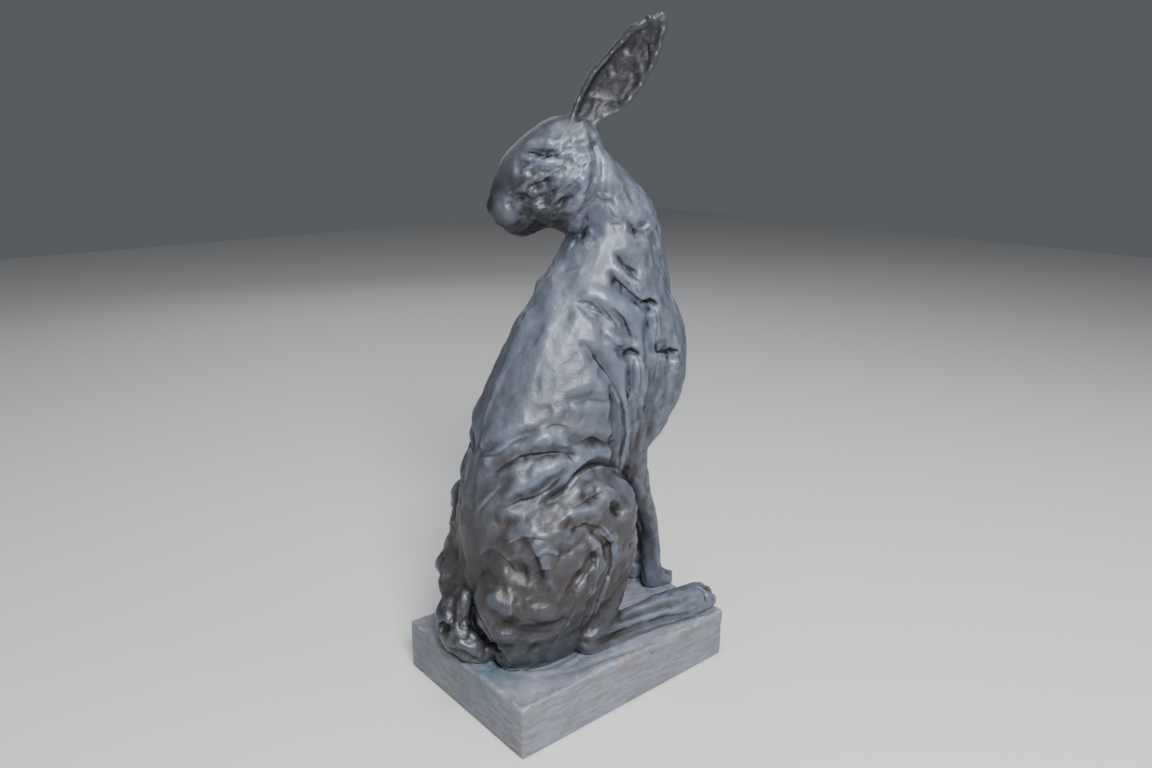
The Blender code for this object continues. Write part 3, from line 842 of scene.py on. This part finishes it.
# %% Painter
class Painter:
    """Adds nodes to one material."""

    def __init__(self, tree):
        self.tree = tree
        self.place = add_node(tree, "ShaderNodeTexCoord").outputs["Object"]
        self.along = add_node(tree, "ShaderNodeSeparateXYZ", {0: self.place}).outputs

    def stored(self, name):
        return add_node(self.tree, "ShaderNodeAttribute", attribute_name=name).outputs["Fac"]

    def times(self, a, b):
        return maths(self.tree, "MULTIPLY", a, b)

    def plus(self, a, b):
        return maths(self.tree, "ADD", a, b)

    def less(self, value):
        return self.times(value, -1.0)

    def toward(self, way):
        return vector_maths(self.tree, "DOT_PRODUCT", self.place, way, "Value")

    def nearness(self, spot):
        return self.less(vector_maths(self.tree, "DISTANCE", self.place, spot, "Value"))

    def between(self, share, least, most):
        sockets = {"Value": share, "To Min": least, "To Max": most}
        return add_node(self.tree, "ShaderNodeMapRange", sockets).outputs["Result"]

    def coat(self, measure, scale, grain, low, high, stretch=EVEN):
        """A mask that is empty where the measure is low and full where it is high."""
        sockets = {"Measure": measure, "Grain Scale": scale, "Grain": grain, "From": low, "To": high}
        sockets["Stretch"] = stretch
        return add_node(self.tree, "ShaderNodeGroup", sockets, node_tree=brushed).outputs["Mask"]

    def weighed(self, start, weights, masks):
        """The start value and each named mask times its weight, added up."""
        total = start
        for name, weight in weights.items():
            total = self.plus(total, self.times(masks[name], weight))
        return total

    def lay(self, under, colour, mask, cover=1.0):
        """A colour over what lies under it."""
        share = mask if cover == 1.0 else self.times(mask, cover)
        node = add_node(self.tree, "ShaderNodeMix", {"Factor": share}, data_type="RGBA")
        sockets = [socket for socket in node.inputs if socket.type == "RGBA"]
        for socket, value in zip(sockets, (under, colour)):
            if isinstance(value, bpy.types.NodeSocket):
                self.tree.links.new(value, socket)
            else:
                socket.default_value = (*value, 1)
        return [socket for socket in node.outputs if socket.type == "RGBA"][0]


print("painter's words:", ", ".join(word for word in vars(Painter) if word[0] != "_"))

# %% [markdown]
# Zones. The colour isn't the same all over. The upper body has more blue-grey than the
# haunches, the ears are almost black, the feet are pale, and there is a turquoise pool on the
# plinth beside the haunch. Other zones hold painted light: painted shade on the front of the face,
# on the jaw and low on the rump, and a pale painted highlight on the nose. Each zone is a mask of
# a length in metres: a height, a way along the nose or the body, or a distance from a spot.

# %% Zones
PLINTH_ZONE = dict(scale=60, grain=0.005, low=-0.051, high=-0.045)
UPPER_ZONE = dict(scale=18, grain=0.06, low=0.10, high=0.30)
EARS_ZONE = dict(scale=40, grain=0.02, low=0.425, high=0.465)
FEET_ZONE = dict(scale=40, grain=0.02, low=-0.095, high=-0.065)
FACE_AHEAD = dict(scale=60, grain=0.03, low=0.005, high=0.040)
FACE_ABOVE = dict(scale=40, grain=0.01, low=0.350, high=0.365)
JAW_AHEAD = dict(scale=60, grain=0.03, low=-0.015, high=0.015)
JAW_ABOVE = dict(scale=40, grain=0.01, low=0.350, high=0.362)
JAW_BELOW = dict(scale=40, grain=0.01, low=-0.428, high=-0.372)
RUMP_BELOW = dict(scale=20, grain=0.05, low=-0.165, high=-0.075)
RUMP_BEHIND = dict(scale=40, grain=0.03, low=-0.030, high=0.010)
NOSE_ZONE = dict(scale=70, grain=0.02, low=-0.017, high=-0.002)
POOL_ZONE = dict(scale=90, grain=0.05, low=-0.034, high=-0.006)
NOSE_PIXEL = (504, 208)
POOL_PIXEL = (497, 669)

nose_spot = sculptor.surface.ray_cast(CAMERA_PLACE, ray_through(NOSE_PIXEL))[0]
pool_ray = ray_through(POOL_PIXEL)
pool_spot = CAMERA_PLACE + pool_ray * (PLINTH_TOP - CAMERA_PLACE.z) / pool_ray.z


def zones_of(paint):
    """The mask of each zone, by name."""
    height = paint.along["Z"]
    depth = paint.less(height)
    backward = paint.less(paint.along["X"])
    ahead = paint.toward((math.cos(HEAD_TURN), math.sin(HEAD_TURN), 0.0))
    jaw_height = paint.times(paint.coat(height, **JAW_ABOVE), paint.coat(depth, **JAW_BELOW))
    return {
        "plinth": paint.coat(depth, **PLINTH_ZONE),
        "upper": paint.coat(height, **UPPER_ZONE),
        "ears": paint.coat(height, **EARS_ZONE),
        "feet": paint.coat(depth, **FEET_ZONE),
        # Painted shade: the front of the face gets less of the pale brush
        "face": paint.times(paint.coat(ahead, **FACE_AHEAD), paint.coat(height, **FACE_ABOVE)),
        # Painted shade on the jaw
        "jaw": paint.times(paint.coat(ahead, **JAW_AHEAD), jaw_height),
        # Painted shade low on the rump
        "rump": paint.times(paint.coat(depth, **RUMP_BELOW), paint.coat(backward, **RUMP_BEHIND)),
        # Where the painted highlight on the nose goes
        "nose": paint.coat(paint.nearness(nose_spot), **NOSE_ZONE),
        "pool": paint.coat(paint.nearness(pool_spot), **POOL_ZONE),
    }


print("nose at", np.round(nose_spot, 3).tolist(), "pool at", np.round(pool_spot, 3).tolist())

# %% [markdown]
# The hare's coats, in the order in which they went on, with painted light laid in among them.
# The dry brush is the one that makes the figure read: it touches proud places first, the upper
# body and the feet sooner than the rest, and it hardly reaches the ears. It is held back on the
# face and the jaw as painted shade. Its grain is stretched downwards, as the strokes of the brush
# are. Pale glints on the sharpest ridges are painted highlights. Last come the darks: painted
# shade in the deepest cuts, in the ear hollows, on the jaw and low on the rump, the darkened ears,
# and a painted highlight on the nose.

# %% Coats of the hare
# Where the brown black stays, in the low places: partly the real ground coat, partly painted shade
UNDERCOAT_AND_HOLLOW_SHADE = dict(scale=70, grain=0.6, low=-0.8, high=0.0)
BARE_LOW = dict(scale=16, grain=1.4, low=-0.45, high=0.25)
BROWN_START = 0.0
BROWN_WEIGHTS = {"upper": -0.5}
OFF_FEET = {"feet": -0.8}
WASH = dict(scale=45, grain=1.4, low=0.0, high=0.9)
WASH_ABOVE = dict(scale=22, grain=2.0, low=0.2, high=1.0)
DRY_BRUSH = dict(scale=60, grain=1.5, low=-0.2, high=1.6, stretch=(1, 1, 0.45))
DRY_START = -0.2
# Less of the pale brush on the face and the jaw is painted shade
DRY_WEIGHTS = {"relief": 1.0, "upper": 0.85, "feet": 0.5, "face": -0.55, "ears": -0.8, "jaw": -0.7}
DRY_COVER = 0.9
OFF_EARS = {"ears": -0.75}
# Painted highlights on the sharpest ridges
GLINTS = dict(scale=160, grain=0.9, low=0.7, high=1.4)
GLINT_START = 0.0
GLINT_WEIGHTS = {"strokes": 1.0, "ears": -0.6}
# Painted shade: black in the deepest cuts
DEEP_CUT_SHADE = dict(scale=60, grain=0.4, low=0.65, high=1.0)
# Painted shade: black in the hollows of the ears
EAR_HOLLOW_SHADE = dict(scale=60, grain=0.6, low=-0.4, high=0.3)

BROWN_BLACK = (0.004, 0.004, 0.006)
SATIN_GREY = (0.042, 0.041, 0.047)
RUST_BROWN = (0.034, 0.026, 0.022)
WASH_BLUE = (0.052, 0.070, 0.108)
DRY_BLUE_GREY = (0.097, 0.115, 0.158)
# The next colour is that of the painted highlights on the ridges
PAINTED_GLINT_SILVER = (0.20, 0.21, 0.24)
EAR_BLACK = (0.006, 0.006, 0.007)
# Colour of the painted shade on the jaw
JAW_PAINTED_SHADE = (0.008, 0.008, 0.009)
# Colour of the painted highlight on the nose
NOSE_PAINTED_HIGHLIGHT = (0.125, 0.145, 0.185)
# Colour of the painted shade low on the rump
RUMP_PAINTED_SHADE = (0.013, 0.011, 0.011)


def hare_colour(paint, masks):
    upper = masks["upper"]
    sink = masks["sink"]
    # Satin grey over the ground. The low places keep the brown black, partly as ground coat and partly as
    # painted shade
    colour = paint.lay(BROWN_BLACK, SATIN_GREY, paint.coat(masks["relief"], **UNDERCOAT_AND_HOLLOW_SHADE))
    brown = paint.coat(paint.weighed(BROWN_START, BROWN_WEIGHTS, masks), **BARE_LOW)
    brown = paint.times(brown, paint.weighed(1.0, OFF_FEET, masks))
    colour = paint.lay(colour, RUST_BROWN, brown, cover=0.75)
    wash = paint.times(paint.coat(sink, **WASH), paint.coat(upper, **WASH_ABOVE))
    colour = paint.lay(colour, WASH_BLUE, wash)
    dragged = paint.coat(paint.weighed(DRY_START, DRY_WEIGHTS, masks), **DRY_BRUSH)
    dragged = paint.times(dragged, paint.weighed(DRY_COVER, OFF_EARS, masks))
    colour = paint.lay(colour, DRY_BLUE_GREY, dragged)
    # Painted highlights on the sharpest ridges
    glints = paint.coat(paint.weighed(GLINT_START, GLINT_WEIGHTS, masks), **GLINTS)
    colour = paint.lay(colour, PAINTED_GLINT_SILVER, glints, cover=0.45)
    # Painted shade: black in the deepest cuts
    colour = paint.lay(colour, BROWN_BLACK, paint.coat(sink, **DEEP_CUT_SHADE))
    # Painted shade: black in the hollows of the ears
    ear_hollow_shade = paint.times(masks["ears"], paint.coat(sink, **EAR_HOLLOW_SHADE))
    colour = paint.lay(colour, BROWN_BLACK, ear_hollow_shade, cover=0.95)
    colour = paint.lay(colour, EAR_BLACK, masks["ears"], cover=0.5)
    # Painted shade on the jaw
    colour = paint.lay(colour, JAW_PAINTED_SHADE, masks["jaw"], cover=0.78)
    # Painted highlight on the nose
    colour = paint.lay(colour, NOSE_PAINTED_HIGHLIGHT, masks["nose"], cover=0.6)
    # Painted shade low on the rump
    return paint.lay(colour, RUMP_PAINTED_SHADE, masks["rump"], cover=0.6)


print("the dry brush weighs", DRY_WEIGHTS)

# %% [markdown]
# The plinth's coats. It is painted in level streaks, from a warm grey to a cool one, with paler
# and darker patches and flecks of rust in them. Its edges are rubbed pale, and the hollows of the
# ground on top hold a blue-grey wash.

# %% Coats of the plinth
STREAKS = dict(scale=300, grain=2.4, low=-0.4, high=0.3, stretch=(0.18, 0.18, 1.0))
CLOUDS = dict(scale=26, grain=2.6, low=-0.3, high=0.5)
PALE_FLECKS = dict(scale=520, grain=1.8, low=0.0, high=0.5, stretch=(0.3, 0.3, 1.0))
RUST_FLECKS = dict(scale=110, grain=2.6, low=0.15, high=0.60, stretch=(0.3, 0.3, 1.0))
DARK_FLECKS = dict(scale=70, grain=2.6, low=0.25, high=0.70, stretch=(0.4, 0.4, 1.0))
RUBBED_EDGES = dict(scale=160, grain=0.5, low=0.90, high=1.15)
GROUND_HOLLOWS = dict(scale=60, grain=0.5, low=0.15, high=0.8)

WARM_GREY = (0.120, 0.108, 0.108)
COOL_GREY = (0.165, 0.178, 0.225)
CLOUD_GREY = (0.105, 0.112, 0.150)
PALE_GREY = (0.24, 0.25, 0.28)
RUST = (0.150, 0.092, 0.056)
DARK_BLUE = (0.055, 0.068, 0.100)
EDGE_GREY = (0.32, 0.31, 0.30)
HOLLOW_BLUE = (0.065, 0.088, 0.115)
TURQUOISE = (0.055, 0.105, 0.135)

PATTERNS = [
    (CLOUDS, CLOUD_GREY, 0.6),
    (PALE_FLECKS, PALE_GREY, 0.6),
    (RUST_FLECKS, RUST, 0.55),
    (DARK_FLECKS, DARK_BLUE, 0.5),
]


def plinth_colour(paint, masks):
    colour = paint.lay(WARM_GREY, COOL_GREY, paint.coat(0.0, **STREAKS))
    for pattern, pigment, cover in PATTERNS:
        colour = paint.lay(colour, pigment, paint.coat(0.0, **pattern), cover)
    edges = paint.coat(masks["strokes"], **RUBBED_EDGES)
    colour = paint.lay(colour, EDGE_GREY, edges, cover=0.7)
    hollows = paint.coat(masks["sink"], **GROUND_HOLLOWS)
    colour = paint.lay(colour, HOLLOW_BLUE, hollows, cover=0.8)
    return paint.lay(colour, TURQUOISE, masks["pool"], cover=0.6)


print(len(PATTERNS), "patterns in the plinth's streaks")

# %% [markdown]
# The material joins the two colours at the plinth's top. The hare is a satin lacquer with a little
# metal in it and the plinth is nearly flat paint, and a fine bump gives both the tooth of cast
# clay, which is finer than the skin's faces.

# %% Bronzed resin
STROKES_SHARE = 0.6
FORMS_SHARE = 0.5
WORN = dict(scale=90, grain=1.2, low=0.9, high=-0.7)
SATIN_ROUGHNESS = 0.37
WORN_ROUGHNESS = 0.53
PLINTH_ROUGHER = 0.14
HARE_METAL = 0.20
PLINTH_METAL = 0.04
CLAY_TOOTH = {"Scale": 120.0, "Detail": 8.0, "Roughness": 0.62, "Distortion": 0.7}
TOOTH_STRENGTH = 0.4
TOOTH_DEPTH = 0.0018


def bronzed_resin():
    material = bpy.data.materials.new("bronzed_resin")
    material.use_nodes = True
    tree = material.node_tree
    shader = tree.nodes["Principled BSDF"].inputs
    paint = Painter(tree)
    masks = zones_of(paint)
    masks["strokes"] = paint.stored("strokes")
    proud_strokes = paint.times(masks["strokes"], STROKES_SHARE)
    masks["relief"] = paint.plus(proud_strokes, paint.times(paint.stored("forms"), FORMS_SHARE))
    masks["sink"] = paint.less(masks["relief"])
    plinth = masks["plinth"]

    colour = paint.lay(hare_colour(paint, masks), plinth_colour(paint, masks), plinth)
    worn = paint.coat(masks["relief"], **WORN)
    rough = paint.between(worn, SATIN_ROUGHNESS, WORN_ROUGHNESS)
    rough = paint.plus(rough, paint.times(plinth, PLINTH_ROUGHER))
    tooth = add_node(tree, "ShaderNodeTexNoise", {"Vector": paint.place, **CLAY_TOOTH})
    bump = add_node(tree, "ShaderNodeBump", {
        "Height": tooth.outputs["Fac"],
        "Strength": TOOTH_STRENGTH,
        "Distance": TOOTH_DEPTH,
    })
    tree.links.new(colour, shader["Base Color"])
    tree.links.new(rough, shader["Roughness"])
    tree.links.new(paint.between(plinth, HARE_METAL, PLINTH_METAL), shader["Metallic"])
    tree.links.new(bump.outputs["Normal"], shader["Normal"])
    return material


resin = bronzed_resin()
casting.materials.clear()
casting.materials.append(resin)
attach(skin, "root")
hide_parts("hare_sculpture")
print("finish on", skin.name, "with", len(resin.node_tree.nodes), "nodes")

# %% [markdown]
# A dark glossy figure shows its form by what it reflects, so the light is a few softboxes and a
# dim sky. The key stands in front of the hare's right side and draws the strokes, the one on top
# gives the back and the plinth their sheen, and two weak ones keep the far sides from going black.

# %% Floor and light
FLOOR_SIZE = 6
FLOOR_COLOUR = (0.55, 0.54, 0.525)
FLOOR_ROUGHNESS = 0.8
SKY_COLOUR = (0.80, 0.84, 0.90)
SKY_STRENGTH = 0.13
LIGHT_AIM = Vector((0, 0, 0.26))

# Name, place in metres, size in metres, watts and colour
SOFTBOXES = [
    ("key", (-0.50, -1.10, 1.20), 0.5, 52, (0.965, 0.985, 1.0)),
    ("top", (-0.15, -0.15, 1.9), 0.9, 22, (0.90, 0.95, 1.0)),
    ("fill_right", (0.9, -1.0, 0.9), 0.8, 6, (0.93, 0.96, 1.0)),
    ("fill_behind", (0.6, 1.5, 1.0), 1.0, 4, (0.93, 0.96, 1.0)),
]

bpy.ops.mesh.primitive_plane_add(size=FLOOR_SIZE)
floor = bpy.context.object
floor.name = "floor"
pale = bpy.data.materials.new("pale_floor")
pale.use_nodes = True
floor_shader = pale.node_tree.nodes["Principled BSDF"].inputs
floor_shader["Base Color"].default_value = (*FLOOR_COLOUR, 1)
floor_shader["Roughness"].default_value = FLOOR_ROUGHNESS
floor.data.materials.append(pale)

world = bpy.data.worlds.new("studio")
world.use_nodes = True
sky = world.node_tree.nodes["Background"].inputs
sky["Color"].default_value = (*SKY_COLOUR, 1)
sky["Strength"].default_value = SKY_STRENGTH
bpy.context.scene.world = world


def softbox(name, place, size, watts, colour):
    """A square light that points at the middle of the figure."""
    lamp = bpy.data.lights.new(name, "AREA")
    lamp.shape = "SQUARE"
    lamp.size = size
    lamp.energy = watts
    lamp.color = colour
    holder = bpy.data.objects.new(name, lamp)
    holder.location = place
    holder.rotation_euler = (LIGHT_AIM - Vector(place)).to_track_quat("-Z", "Y").to_euler()
    bpy.context.scene.collection.objects.link(holder)


for row in SOFTBOXES:
    softbox(*row)
print(len(SOFTBOXES), "softboxes over a floor of", FLOOR_SIZE, "m")

# %% [markdown]
# The dressed figure must not outgrow the solid.
